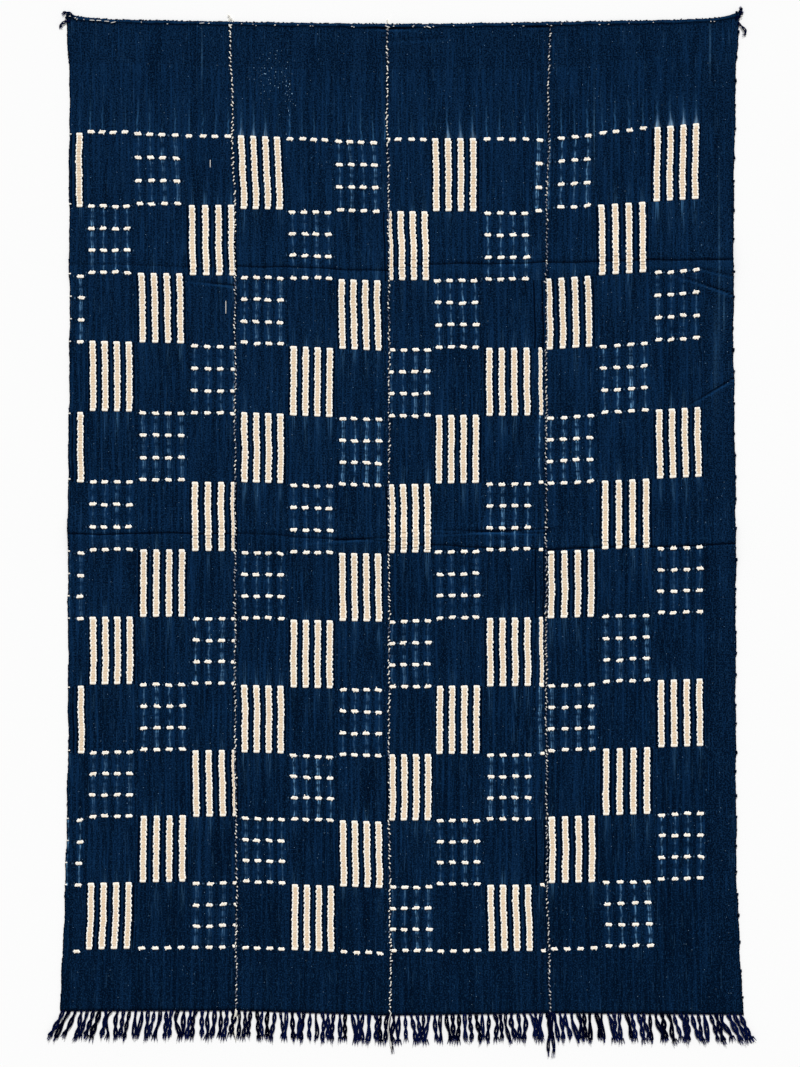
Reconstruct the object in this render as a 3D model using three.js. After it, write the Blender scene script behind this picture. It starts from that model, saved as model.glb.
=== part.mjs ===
// An indigo cotton wrapper laid flat and face up: four woven panels joined edge to edge, a rolled hem
// along the top and a fringe of twisted warp ends along the foot.
// Millimetres, +Z up, +X across the width, +Y towards the hemmed top, resting on Z = 0.

import * as THREE from "three";

// Driving sizes
const LENGTH = 1634;
const SHEET_THICK = 1.5;
const PIECE_GAP = 0.3;
const COLUMNS = 10;

// The top edge dips in the middle and its two corners are pulled up
const TOP_MIDDLE = 830;
const TOP_DIP = 9;
const TOP_DIP_POWER = 1.2;
const HALF_WIDTH = 555;
const CORNER_RISE = 11;
const CORNER_REACH = 25;

// Where the five long edges run at sections down the cloth, with drop measured from the top
const SECTIONS = [
  { drop: 0, left: -552, seam_1: -284, seam_2: -24, seam_3: 246, right: 556 },
  { drop: 30, left: -553, seam_1: -284, seam_2: -24, seam_3: 243, right: 553 },
  { drop: 95, left: -546, seam_1: -280.5, seam_2: -25, seam_3: 241, right: 549.5 },
  { drop: 190, left: -548, seam_1: -280, seam_2: -24, seam_3: 242.5, right: 548 },
  { drop: 300, left: -548, seam_1: -276, seam_2: -22, seam_3: 238.5, right: 546 },
  { drop: 530, left: -547, seam_1: -275.5, seam_2: -21.5, seam_3: 238, right: 545.5 },
  { drop: 790, left: -550, seam_1: -275.5, seam_2: -21.5, seam_3: 237.5, right: 549.5 },
  { drop: 1200, left: -549.5, seam_1: -275.5, seam_2: -21.5, seam_3: 238, right: 549.5 },
  { drop: 1420, left: -554, seam_1: -273, seam_2: -20.5, seam_3: 239, right: 551 },
  { drop: 1550, left: -559, seam_1: -273.5, seam_2: -19, seam_3: 242.5, right: 557.5 },
  { drop: LENGTH, left: -564, seam_1: -274, seam_2: -19, seam_3: 245, right: 562 },
];

// How far down each edge the weaving ends and the fringe begins
const FOOT = { left: -798, seam_1: -797, seam_2: -805, seam_3: -801, right: -804 };

const PANELS = [
  { name: "panel_1", fringe: "fringe_1", from: "left", to: "seam_1" },
  { name: "panel_2", fringe: "fringe_2", from: "seam_1", to: "seam_2" },
  { name: "panel_3", fringe: "fringe_3", from: "seam_2", to: "seam_3" },
  { name: "panel_4", fringe: "fringe_4", from: "seam_3", to: "right" },
];

// The rolled hem, as the thickness of the cloth at steps below the top edge
const HEM = [
  { drop: 0, thick: 2.4 },
  { drop: 3, thick: 3.2 },
  { drop: 6.5, thick: 2.9 },
  { drop: 8, thick: SHEET_THICK },
];

// Two old fold lines cross every panel: their drops and their heights at its left and right edges
const CREASES = [
  { panel: "panel_1", from: 404, to: 406, riseFrom: 2, riseTo: 1.8 },
  { panel: "panel_2", from: 403, to: 406, riseFrom: 2, riseTo: 2.4 },
  { panel: "panel_3", from: 397, to: 396, riseFrom: 2.6, riseTo: 3.2 },
  { panel: "panel_4", from: 396, to: 394, riseFrom: 3.2, riseTo: 3.8 },
  { panel: "panel_1", from: 848, to: 845, riseFrom: 3.4, riseTo: 2.4 },
  { panel: "panel_2", from: 845, to: 853, riseFrom: 2.4, riseTo: 2.8 },
  { panel: "panel_3", from: 856, to: 870, riseFrom: 3, riseTo: 3.3 },
  { panel: "panel_4", from: 869, to: 862, riseFrom: 3.4, riseTo: 3.8 },
];

// A fold line seen from its side: two soft ridges with a narrow trough between, as shares of the rise
const CREASE_PROFILE = [
  { along: -38, lift: 0 },
  { along: -7, lift: 1 },
  { along: 0, lift: 0.25 },
  { along: 13, lift: 0.9 },
  { along: 55, lift: 0 },
];

// The fringe: strands that hang from a narrow header and gather into tufts
const HEADER = 3;
const STRAND_PITCH = 9.7;
const STRAND_ROOT = 5.4;
const STRAND_TIP = 4;
const STRAND_THICK = 4.5;
const STRAND_LENGTH = 44;
const STRAND_UNEVEN = 3;
const STRAND_WAVE = 2.4;
const TUFTS = [2, 1, 4, 2, 3, 2, 3, 2, 4, 3];
const TUFT_TIP_SHARE = 0.55;

// How far the strands' tips lean aside along the foot
const LEANS = [
  { x: -564, lean: -29 },
  { x: -480, lean: -8 },
  { x: -200, lean: -1 },
  { x: 100, lean: 2 },
  { x: 300, lean: 8 },
  { x: 500, lean: 11 },
  { x: 562, lean: 29 },
];

const COTTON = { color: 0x0b2745, roughness: 0.92, metalness: 0 };
const TWISTED_COTTON = { color: 0x081c34, roughness: 0.95, metalness: 0 };

const lerp = THREE.MathUtils.lerp;

// A column's value between the two table rows that enclose a key
function between(table, keyName, key, column) {
  const last = table.length - 1;
  const found = table.findIndex((row) => row[keyName] >= key);
  const upper = found < 0 ? last : Math.max(found, 1);
  const a = table[upper - 1];
  const b = table[upper];
  const share = (key - a[keyName]) / (b[keyName] - a[keyName]);
  return lerp(a[column], b[column], share);
}

// The point of a panel that lies a share across it and a drop below the top edge
function place(panel, across, drop) {
  const low = between(SECTIONS, "drop", drop, panel.from) + PIECE_GAP / 2;
  const high = between(SECTIONS, "drop", drop, panel.to) - PIECE_GAP / 2;
  const x = lerp(low, high, across);
  const topX = lerp(SECTIONS[0][panel.from], SECTIONS[0][panel.to], across);
  const top = TOP_MIDDLE + TOP_DIP * Math.abs(topX / HALF_WIDTH) ** TOP_DIP_POWER;
  const foot = lerp(FOOT[panel.from], FOOT[panel.to], across);
  const inset = Math.max(HALF_WIDTH - Math.abs(topX), 0) + drop;
  const rise = CORNER_RISE * Math.exp(-inset / CORNER_REACH);
  return new THREE.Vector2(x, lerp(top, foot, drop / LENGTH) + rise);
}

// The rows of points down a panel: its hem, its sections and its fold lines, from the top to the foot
function panelRows(panel) {
  const flatRow = (drop, thick) => ({ from: drop, to: drop, liftFrom: 0, liftTo: 0, thick });
  const hem = HEM.map((step) => flatRow(step.drop, step.thick));
  const sections = SECTIONS.slice(1).map((section) => flatRow(section.drop, SHEET_THICK));
  const folds = CREASES.filter((crease) => crease.panel === panel.name).flatMap((crease) => {
    return CREASE_PROFILE.map((step) => ({
      from: crease.from + step.along,
      to: crease.to + step.along,
      liftFrom: crease.riseFrom * step.lift,
      liftTo: crease.riseTo * step.lift,
      thick: SHEET_THICK,
    }));
  });
  return [...hem, ...sections, ...folds].sort((a, b) => a.from - b.from);
}

// A panel: a thin slab whose points are moved onto the rows
function sheetGeometry(panel) {
  const rows = panelRows(panel);
  const gaps = rows.length - 1;
  const slab = new THREE.BoxGeometry(1, 1, 1, COLUMNS, gaps, 1);
  const position = slab.attributes.position;
  for (let i = 0; i < position.count; i += 1) {
    const across = position.getX(i) + 0.5;
    const row = rows[Math.round((0.5 - position.getY(i)) * gaps)];
    const spot = place(panel, across, lerp(row.from, row.to, across));
    const lift = lerp(row.liftFrom, row.liftTo, across);
    position.setXYZ(i, spot.x, spot.y, position.getZ(i) > 0 ? lift + row.thick : lift);
  }
  slab.computeVertexNormals();
  return slab;
}

// The strands of a panel's fringe, each with its root on the header and its tip in its tuft
function strandsOf(left, right) {
  const count = Math.floor((right.x - left.x) / STRAND_PITCH);
  const roots = Array.from({ length: count }, (_, i) => lerp(left.x, right.x, (i + 0.5) / count));
  const strands = [];
  for (let first = 0, tuft = 0; first < count; tuft += 1) {
    const size = Math.min(TUFTS[tuft % TUFTS.length], count - first);
    const middle = (roots[first] + roots[first + size - 1]) / 2;
    for (let i = first; i < first + size; i += 1) {
      const lean = between(LEANS, "x", roots[i], "lean");
      const tip = lerp(middle, roots[i], TUFT_TIP_SHARE) + lean;
      const length = STRAND_LENGTH + STRAND_UNEVEN * Math.sin(i * STRAND_WAVE);
      strands.push({ root: roots[i], tip, length });
    }
    first += size;
  }
  return strands;
}

// A fringe: one comb outline, cut just below the panel's foot and given the strands' thickness
function combGeometry(panel) {
  const left = place(panel, 0, LENGTH);
  const right = place(panel, 1, LENGTH);
  const footAt = (x) => lerp(left.y, right.y, (x - left.x) / (right.x - left.x)) - PIECE_GAP;
  const outline = new THREE.Shape();
  outline.moveTo(right.x, footAt(right.x));
  outline.lineTo(left.x, footAt(left.x));
  outline.lineTo(left.x, footAt(left.x) - HEADER);
  for (const strand of strandsOf(left, right)) {
    const rootY = footAt(strand.root) - HEADER;
    const tipY = rootY - strand.length;
    outline.lineTo(strand.root - STRAND_ROOT / 2, rootY);
    outline.lineTo(strand.tip - STRAND_TIP / 2, tipY);
    outline.lineTo(strand.tip + STRAND_TIP / 2, tipY);
    outline.lineTo(strand.root + STRAND_ROOT / 2, rootY);
  }
  outline.lineTo(right.x, footAt(right.x) - HEADER);
  outline.closePath();
  return new THREE.ExtrudeGeometry(outline, { depth: STRAND_THICK, bevelEnabled: false });
}

function namedMesh(name, geometry, finish) {
  const mesh = new THREE.Mesh(geometry, new THREE.MeshStandardMaterial(finish));
  mesh.name = name;
  return mesh;
}

const cloth = new THREE.Group();
for (const panel of PANELS) {
  cloth.add(namedMesh(panel.name, sheetGeometry(panel), COTTON));
  cloth.add(namedMesh(panel.fringe, combGeometry(panel), TWISTED_COTTON));
}

// The origin is under the middle of the whole cloth, fringe included
const middle = new THREE.Box3().setFromObject(cloth).getCenter(new THREE.Vector3());
cloth.position.set(-middle.x, -middle.y, 0);

export default cloth;
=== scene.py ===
# %% [markdown]
# # An indigo wrapper cloth, laid out flat
# Four panels of hand-woven cotton are whip-stitched edge to edge, the top is rolled into a hem and the
# warp ends are twisted into a fringe. A second, cream weft floats over the indigo ground in bars and
# dots. The solids of the frame hold the true size and place, so the whole layout is set on a corner of
# theirs.

import math

import bmesh
import bpy
import numpy as np
from mathutils import Matrix, Vector


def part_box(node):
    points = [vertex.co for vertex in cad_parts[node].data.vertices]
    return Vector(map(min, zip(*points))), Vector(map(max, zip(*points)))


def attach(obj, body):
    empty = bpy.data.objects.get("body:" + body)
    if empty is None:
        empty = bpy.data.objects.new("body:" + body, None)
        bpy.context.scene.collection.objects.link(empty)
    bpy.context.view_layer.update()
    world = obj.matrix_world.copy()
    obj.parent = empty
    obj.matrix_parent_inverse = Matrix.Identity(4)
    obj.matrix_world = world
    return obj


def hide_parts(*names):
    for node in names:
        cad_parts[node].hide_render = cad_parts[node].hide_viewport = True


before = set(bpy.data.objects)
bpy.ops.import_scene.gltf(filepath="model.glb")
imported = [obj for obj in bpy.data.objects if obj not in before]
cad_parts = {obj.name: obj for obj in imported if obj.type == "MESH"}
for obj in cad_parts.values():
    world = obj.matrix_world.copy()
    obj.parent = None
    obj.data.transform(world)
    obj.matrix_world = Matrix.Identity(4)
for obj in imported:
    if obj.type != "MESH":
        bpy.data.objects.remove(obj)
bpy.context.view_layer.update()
MM = 0.001
rng = np.random.default_rng(12)
print("frame nodes:", sorted(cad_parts))

# %% [markdown]
# ## Where the cloth lies
# Hand-woven strips are never quite straight, so each long edge is a line through a few measured
# sections. One function turns a place on a panel (how far across it, how far down from the top) into a
# place on the floor. Every later piece asks that function, so stitches, pattern and fringe all stay on
# the cloth.

# %% Lay out the long edges
LENGTH = 1634.0
SHEET_THICK = 1.5
PIECE_GAP = 0.3
EDGES = ("left", "seam_1", "seam_2", "seam_3", "right")
SECTIONS = {
    "drop": (0, 30, 95, 190, 300, 530, 790, 1200, 1420, 1550, LENGTH),
    "left": (-552, -553, -546, -548, -548, -547, -550, -549.5, -554, -559, -564),
    "seam_1": (-284, -284, -280.5, -280, -276, -275.5, -275.5, -275.5, -273, -273.5, -274),
    "seam_2": (-24, -24, -25, -24, -22, -21.5, -21.5, -21.5, -20.5, -19, -19),
    "seam_3": (246, 243, 241, 242.5, 238.5, 238, 237.5, 238, 239, 242.5, 245),
    "right": (556, 553, 549.5, 548, 546, 545.5, 549.5, 549.5, 551, 557.5, 562),
}
FOOT = {"left": -798, "seam_1": -797, "seam_2": -805, "seam_3": -801, "right": -804}
PANELS = range(len(EDGES) - 1)
PANEL_WIDTH = (274.5, 254.0, 259.0, 312.0)
SOFTEN = (-24, -12, 0, 12, 24)
WANDER = {"size": 0.6, "phase": 1.7, "long": 23, "short": 9.7, "short_share": 0.7, "short_phase": 2.3}


def edge_line(edge, drop):
    """How far across the floor a long edge runs, with its bends softened and a weaver's small wander."""
    bends = [np.interp(drop + step, SECTIONS["drop"], SECTIONS[edge]) for step in SOFTEN]
    phase = EDGES.index(edge) * WANDER["phase"]
    slow = np.sin(drop / WANDER["long"] + phase)
    quick = np.sin(drop / WANDER["short"] + WANDER["short_phase"] * phase)
    return np.mean(bends, axis=0) + WANDER["size"] * (slow + WANDER["short_share"] * quick)


print("panel widths in mm:", PANEL_WIDTH)

# %% Turn a place on a panel into a place on the floor
TOP_MIDDLE = 830
TOP_DIP = 9
TOP_DIP_POWER = 1.2
HALF_WIDTH = 555
CORNER_RISE = 11
CORNER_REACH = 25


def ends_of(panel, across):
    """The y of a panel's top and of its foot at a share across it, and the x of the top."""
    low, high = EDGES[panel], EDGES[panel + 1]
    top_x = SECTIONS[low][0] * (1 - across) + SECTIONS[high][0] * across
    top = TOP_MIDDLE + TOP_DIP * np.abs(top_x / HALF_WIDTH) ** TOP_DIP_POWER
    foot = FOOT[low] * (1 - across) + FOOT[high] * across
    return top, foot, top_x


def place(panel, across, drop):
    """The x and y, in millimetres of the cloth's own layout, of a point on a panel."""
    low = edge_line(EDGES[panel], drop) + PIECE_GAP / 2
    high = edge_line(EDGES[panel + 1], drop) - PIECE_GAP / 2
    top, foot, top_x = ends_of(panel, across)
    inset = np.maximum(HALF_WIDTH - np.abs(top_x), 0) + drop
    rise = CORNER_RISE * np.exp(-inset / CORNER_REACH)
    return low + (high - low) * across, top + (foot - top) * drop / LENGTH + rise


def drop_at(panel, across, y):
    """How far down a panel a y of the layout lies."""
    top, foot, _ = ends_of(panel, across)
    return (top - y) / (top - foot) * LENGTH


own_corner = Vector((SECTIONS["left"][-1] + PIECE_GAP / 2, FOOT["left"], 0)) * MM
SHIFT = np.array(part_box("panel_1")[0] - own_corner)


def in_frame(*layout):
    """A place in the frame, in metres, from one in the layout, in millimetres."""
    return np.stack(layout, axis=-1) * MM + SHIFT


print("layout to frame in mm:", (SHIFT / MM).round(2))

# %% [markdown]
# ## Fold lines
# The cloth was stored folded, and two old folds still cross it. A fold that has been pressed one way
# and then opened is a narrow trough between two soft ridges, and it breaks a little at each seam.
# Smaller wrinkles are short strokes with a like profile. They could be sculpted or simulated, but
# given in millimetres, they stay where the real ones are.

# %% Write down the folds and wrinkles


def table(columns, *rows):
    """A short table: a dictionary for each row, with the named columns."""
    return [dict(zip(columns.split(), row)) for row in rows]


def on_panel(rows, panel):
    """The rows of a table that belong to one panel."""
    return [row for row in rows if row["panel"] == panel]


# The last three columns are painted light: a shade line in each fold's trough, and a highlight on a band
# beside it, at the given drop from the fold, that also stands for dye rubbed pale
FOLDS = table(
    "panel at rise soiled rubbed rubbed_at",
    (0, (404, 406), (1.6, 1.6), 0.35, 0.2, 9),
    (1, (403, 406), (2.0, 2.2), 0.9, 0.3, 9),
    (2, (397, 396), (2.4, 2.8), 0.9, 0.3, 9),
    (3, (396, 394), (2.8, 3.4), 0.9, 0.35, 9),
    (0, (848, 845), (3.0, 2.4), 0.95, 0.2, 9),
    (1, (845, 853), (2.2, 2.4), 0.6, 0.15, 9),
    (2, (856, 870), (2.6, 3.0), 0.8, 0.1, -10),
    (3, (869, 862), (3.0, 3.4), 0.95, 0.1, -9),
)
WRINKLES = table(
    "start end rise width sharp",
    ((446, 419), (546, 385), 2.2, 6, 1.0),
    ((470, 432), (546, 415), 1.6, 6, 1.0),
    ((530, 468), (546, 448), 1.0, 5, 1.0),
    ((462, 196), (546, 246), 2.0, 6, 1.1),
    ((20, -2), (205, -8), 1.6, 6, 1.0),
    ((14, -13), (236, -2), 1.4, 5, 1.0),
    ((-356, 408), (-282, 400), 1.8, 6, 1.0),
    ((-190, -26), (-28, -16), 1.2, 6, 1.0),
    ((258, -168), (305, -212), 1.4, 7, 0.7),
    ((-545, 826), (-450, 770), 1.6, 10, 0.15),
    ((-540, 800), (-492, 690), 1.4, 10, 0.15),
    ((545, 820), (480, 760), 1.6, 10, 0.15),
    ((-70, 800), (40, 806), 1.6, 8, 0.4),
)
HEM_GAPES = table("start end rise", (-66, 34, 1.5), (190, 250, 1.0))
print("written down:", len(FOLDS), "folds,", len(WRINKLES), "wrinkles,", len(HEM_GAPES), "gapes")

# %% Shape the folds and wrinkles
FOLD_WAVER = table("size waves", (0.9, 9), (0.4, 23))
FOLD_RIDGE = {"above": 28.0, "below": 40.0, "share": 1.05}
FOLD_TROUGH = {"wide": 2.4, "share": 0.6}
WRINKLE_RIDGE = 2.2
WRINKLE_TROUGH = {"wide": 0.55, "share": 0.85}
WRINKLE_PAST_END = 40
WRINKLE_FADE = 60


def hump(value, middle, width):
    """A soft bump of height 1 round a middle value."""
    return np.exp(-(((value - middle) / width) ** 2))


def fold_line(fold, across):
    """The drop of a fold at a share across its panel, wavering a little."""
    left, right = fold["at"]
    wavers = [w["size"] * np.sin(across * w["waves"] + at) for w, at in zip(FOLD_WAVER, fold["at"])]
    return left + (right - left) * across + sum(wavers)


def fold_profile(along):
    """A narrow trough between two soft ridges, as a share of the fold's rise."""
    ridge_width = np.where(along < 0, FOLD_RIDGE["above"], FOLD_RIDGE["below"])
    trough = FOLD_TROUGH["share"] * hump(along, 0, FOLD_TROUGH["wide"])
    return FOLD_RIDGE["share"] * hump(along, 0, ridge_width) - trough


def beside(wrinkle, x, y):
    """How far points lie above a wrinkle's line, and how much of the wrinkle there is at them."""
    start, end = np.array(wrinkle["start"], float), np.array(wrinkle["end"], float)
    run = np.linalg.norm(end - start)
    way = (end - start) / run
    along = (x - start[0]) * way[0] + (y - start[1]) * way[1]
    aside = np.sign(way[0]) * ((y - start[1]) * way[0] - (x - start[0]) * way[1])
    ending = np.clip((run + WRINKLE_PAST_END - along) / WRINKLE_FADE, 0, 1)
    return aside, np.sqrt(np.clip(along / run, 0, 1) * ending)


def wrinkle_height(wrinkle, x, y):
    """The height that one short wrinkle adds at points of the layout."""
    aside, share = beside(wrinkle, x, y)
    ridge = hump(aside, 0, WRINKLE_RIDGE * wrinkle["width"])
    trough = hump(aside, 0, WRINKLE_TROUGH["wide"] * wrinkle["width"])
    return wrinkle["rise"] * share * (ridge - WRINKLE_TROUGH["share"] * trough)


print("trough and ridge of a fold:", fold_profile(np.array((0, 10))).round(2))

# %% Raise the cloth on its folds
SWELL = {"size": 0.35, "base": 0.2, "x": 41, "y": 53, "sway_x": 59, "sway_y": 67, "sway": 1.3}


def gape(x):
    """How far the rolled hem lifts off the cloth."""
    shares = [np.clip((x - g["start"]) / (g["end"] - g["start"]), 0, 1) for g in HEM_GAPES]
    return sum(g["rise"] * np.sin(math.pi * share) for g, share in zip(HEM_GAPES, shares))


def lift(panel, across, drop):
    """How high the underside of the cloth is above the floor, in millimetres."""
    x, y = place(panel, across, drop)
    height = np.zeros_like(x)
    for fold in on_panel(FOLDS, panel):
        rise = fold["rise"][0] + (fold["rise"][1] - fold["rise"][0]) * across
        height = height + rise * fold_profile(drop - fold_line(fold, across))
    for wrinkle in WRINKLES:
        height = height + wrinkle_height(wrinkle, x, y)
    sway = SWELL["sway"] * np.sin(y / SWELL["sway_y"])
    swell = np.sin(x / SWELL["x"] + sway) * np.sin(y / SWELL["y"] + np.sin(x / SWELL["sway_x"]))
    return np.maximum(height + SWELL["size"] * (swell + SWELL["base"]), 0)


def spot(panel, across, drop, above=0.0):
    """Points of the frame, in metres, at a height above the underside of the cloth."""
    across, drop = np.broadcast_arrays(np.asarray(across, float), np.asarray(drop, float))
    x, y = place(panel, across, drop)
    return in_frame(x, y, lift(panel, across, drop) + above)


print("cloth above the floor at its middle in mm:", round(float(lift(1, 1.0, LENGTH / 2)), 2))

# %% Paint light and shade on the folds, the hem and the seams
# Painted shadow under the hem, and a painted highlight on the lip below where it gapes
HEM_SHADE = {"drop": 6.5, "wide": 1.7, "share": 0.35, "open_share": 0.75}
HEM_LIP_HIGHLIGHT = {"drop": 10.5, "wide": 1.8, "share": 0.8}
WIDEST_GAPE = max(g["rise"] for g in HEM_GAPES)
# Widths of the painted highlight beside a fold and of the painted shade line in its trough
LIT_BAND_WIDTH = 8.5
CREASE_SHADE_WIDTH = 1.3
# Painted highlight beside a wrinkle and painted shade line along it
WRINKLE_LIT_BAND = {"at": -0.55, "wide": 0.3, "share": 0.5}
WRINKLE_SHADE_LINE = {"wide": 1.6, "share": 0.6}
SEAM_SHADE = {"wide": 2.0, "share": 0.8}


def soil(panel, across, drop):
    """Painted light on the ground: below 0 painted shade, above 0 painted highlight. Shade lies under the
    hem, in each fold's and wrinkle's trough and along the seams; highlight lies on the lip under a gape and
    on a band beside each fold and wrinkle, which also stands for dye rubbed pale.
    """
    x, y = place(panel, across, drop)
    # Painted shadow under the rolled hem, deeper where the hem gapes, and a painted highlight on the lit
    # lip below each gape
    opened = gape(x) / WIDEST_GAPE
    tone = HEM_LIP_HIGHLIGHT["share"] * opened * hump(drop, HEM_LIP_HIGHLIGHT["drop"], HEM_LIP_HIGHLIGHT["wide"])
    shade = HEM_SHADE["share"] + HEM_SHADE["open_share"] * opened
    tone -= shade * hump(drop, HEM_SHADE["drop"], HEM_SHADE["wide"])
    # Each fold: a painted highlight on a band beside it, which also stands for rubbed dye, and a painted
    # shade line in its trough
    for fold in on_panel(FOLDS, panel):
        along = drop - fold_line(fold, across)
        tone += fold["rubbed"] * hump(along, fold["rubbed_at"], LIT_BAND_WIDTH)
        tone -= fold["soiled"] * hump(along, 0, CREASE_SHADE_WIDTH)
    # Beside each wrinkle a painted highlight, which also stands for rubbed dye, and along it a painted
    # shade line, both as strong as the wrinkle's rise and sharpness
    for wrinkle in WRINKLES:
        aside, share = beside(wrinkle, x, y)
        rubbed = hump(aside / wrinkle["width"], WRINKLE_LIT_BAND["at"], WRINKLE_LIT_BAND["wide"])
        line = hump(aside, 0, WRINKLE_SHADE_LINE["wide"])
        change = WRINKLE_LIT_BAND["share"] * rubbed - WRINKLE_SHADE_LINE["share"] * line
        tone += wrinkle["rise"] * share * wrinkle["sharp"] * change
    # Painted shade along each seam, where the two panels meet
    for seam, share in ((panel, across), (panel + 1, 1 - across)):
        if 0 < seam < len(PANELS):
            tone -= SEAM_SHADE["share"] * hump(share * PANEL_WIDTH[panel], 0, SEAM_SHADE["wide"])
    return tone


print("soil in each fold:", [round(float(soil(f["panel"], 0.5, fold_line(f, 0.5))), 2) for f in FOLDS])

# %% [markdown]
# ## Stage, light and camera
# A flat textile is photographed from straight above. One broad light from the hem's side rakes across
# the folds and yarns, so they show, and a bright even surrounding keeps the shadows soft. A sun lamp
# lights every part of a flat thing alike, which an area lamp at this size wouldn't.

# %% Make the floor, the light and the camera
PHOTO_HEIGHT = 1067
MM_PER_PIXEL = 1.65
CAMERA_HEIGHT = 4.2
CAMERA_OFFSET = (-3.3, -9.9)
SENSOR_WIDTH = 36
FLOOR_SIZE = 40.0
SUN = {"energy": 3.45, "angle": 16, "elevation": 36, "side": 8}
WORLD_STRENGTH = 0.46


def linked(obj):
    """Puts an object in the scene and returns it."""
    bpy.context.scene.collection.objects.link(obj)
    return obj


def mesh_of(bm, name):
    """Turns a bmesh into a mesh and frees it."""
    mesh = bpy.data.meshes.new(name)
    bm.to_mesh(mesh)
    bm.free()
    return mesh


bm = bmesh.new()
bmesh.ops.create_grid(bm, x_segments=1, y_segments=1, size=FLOOR_SIZE)
floor_mesh = mesh_of(bm, "floor")
floor = linked(bpy.data.objects.new("floor", floor_mesh))

sun = bpy.data.lights.new("broad_light", "SUN")
sun.energy = SUN["energy"]
sun.angle = math.radians(SUN["angle"])
lamp = linked(bpy.data.objects.new("broad_light", sun))
lamp.rotation_euler = (math.radians(SUN["elevation"]) - math.pi / 2, math.radians(SUN["side"]), 0)

world = bpy.data.worlds.new("studio")
world.use_nodes = True
background = world.node_tree.nodes["Background"]
background.inputs["Color"].default_value = (1, 1, 1, 1)
background.inputs["Strength"].default_value = WORLD_STRENGTH
bpy.context.scene.world = world
bpy.context.scene.view_settings.view_transform = "Standard"

camera_data = bpy.data.cameras.new("camera")
camera_data.sensor_width = SENSOR_WIDTH
camera_data.lens = SENSOR_WIDTH * CAMERA_HEIGHT / (PHOTO_HEIGHT * MM_PER_PIXEL * MM)
camera = linked(bpy.data.objects.new("camera", camera_data))
camera.location = (*(np.array(CAMERA_OFFSET) * MM + SHIFT[:2]), CAMERA_HEIGHT)
bpy.context.scene.camera = camera
print("camera lens in mm:", round(camera_data.lens, 1))

# %% [markdown]
# ## A small language for finishes
# A finish is a sum of many small effects: dye depth, streaks, yarn, wear. Written as nodes that is a
# wall of boxes, so a Tone wraps one socket and ordinary arithmetic on Tones adds the Math nodes. Every
# other node comes from one method, which sets the node's settings first and then feeds its sockets.

# %% Wrap sockets so that finishes read as sums


class Tone:
    """One socket of a material's node tree: arithmetic on it adds Math nodes."""

    def __init__(self, tree, socket=None):
        self.tree = tree
        self.socket = socket

    def node(self, kind, settings=(), sockets=(), output=0):
        """Adds any node: its settings first, then the values or links of its sockets."""
        made = self.tree.nodes.new(kind)
        for name, value in dict(settings).items():
            setattr(made, name, value)
        for name, value in dict(sockets).items():
            if isinstance(value, Tone):
                self.tree.links.new(value.socket, made.inputs[name])
            else:
                made.inputs[name].default_value = value
        return Tone(self.tree, made.outputs[output] if made.outputs else None)

    def math(self, operation, *values):
        return self.node("ShaderNodeMath", {"operation": operation}, enumerate(values))

    def __add__(self, other):
        return self.math("ADD", self, other)

    def __sub__(self, other):
        return self.math("SUBTRACT", self, other)

    def __rsub__(self, other):
        return self.math("SUBTRACT", other, self)

    def __mul__(self, other):
        return self.math("MULTIPLY", self, other)

    def __truediv__(self, other):
        return self.math("DIVIDE", self, other)

    def __abs__(self):
        return self.math("ABSOLUTE", self)

    __radd__ = __add__
    __rmul__ = __mul__

    def over(self, limit):
        """1 where the value is above a limit, else 0."""
        return self.math("GREATER_THAN", self, limit)

    def bell(self, middle, width):
        """A soft bump of height 1 round a middle value."""
        reach = (self - middle) / width
        return self.math("EXPONENT", reach * reach * -1)

    def rise(self, low, high):
        """0 below low, 1 above high, and smooth between."""
        sockets = {"Value": self, "From Min": low, "From Max": high}
        return self.node("ShaderNodeMapRange", {"interpolation_type": "SMOOTHSTEP"}, sockets)

    def between(self, first, second):
        """A colour mixed from two, with this value as the share of the second."""
        return self.node("ShaderNodeMix", {"data_type": "RGBA"}, {0: self, 6: first, 7: second}, 2)

    def parts(self):
        """The x, y and z values of a vector."""
        split = self.node("ShaderNodeSeparateXYZ", (), {0: self})
        return [Tone(self.tree, out) for out in split.socket.node.outputs]

    def chance(self, first, second):
        """A random value from 0 to 1 for each pair of whole numbers."""
        pair = self.node("ShaderNodeCombineXYZ", (), {0: first, 1: second})
        return self.node("ShaderNodeTexWhiteNoise", {"noise_dimensions": "2D"}, {"Vector": pair})

    def noise(self, across, along, size_across, size_along, detail=2.0):
        """Cloudy noise on two values, each with its own grain size."""
        spread = self.node("ShaderNodeCombineXYZ", (), {0: across / size_across, 1: along / size_along})
        sockets = {"Vector": spread, "Scale": 1.0, "Detail": detail}
        return self.node("ShaderNodeTexNoise", {"noise_dimensions": "2D"}, sockets)

    def uv(self, name):
        """The two values of one of the piece's UV maps."""
        return self.node("ShaderNodeUVMap", {"uv_map": name}).parts()[:2]

    def attribute(self, name):
        """A value that is kept on the piece's own points."""
        return self.node("ShaderNodeAttribute", {"attribute_name": name}, (), 2)


print("a tone can do:", [name for name in vars(Tone) if not name.startswith("_")])

# %% Begin and end a finish
FLOOR_GREYS = ((0.88, 0.88, 0.88, 1), (0.9, 0.9, 0.9, 1))
COTTON_ROUGH = 0.9


def dye(red, green, blue):
    """A colour as it is read off a screen, 0 to 255, as the linear colour that shaders take."""
    screen = np.array([red, green, blue]) / 255
    linear = np.where(screen <= 0.04045, screen / 12.92, ((screen + 0.055) / 1.055) ** 2.4)
    return (*linear.tolist(), 1.0)


def painted(colour, layers):
    """A colour with layers over it, each a share and a colour as it is read off a screen."""
    for share, screen in layers:
        colour = share.between(colour, dye(*screen))
    return colour


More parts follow.
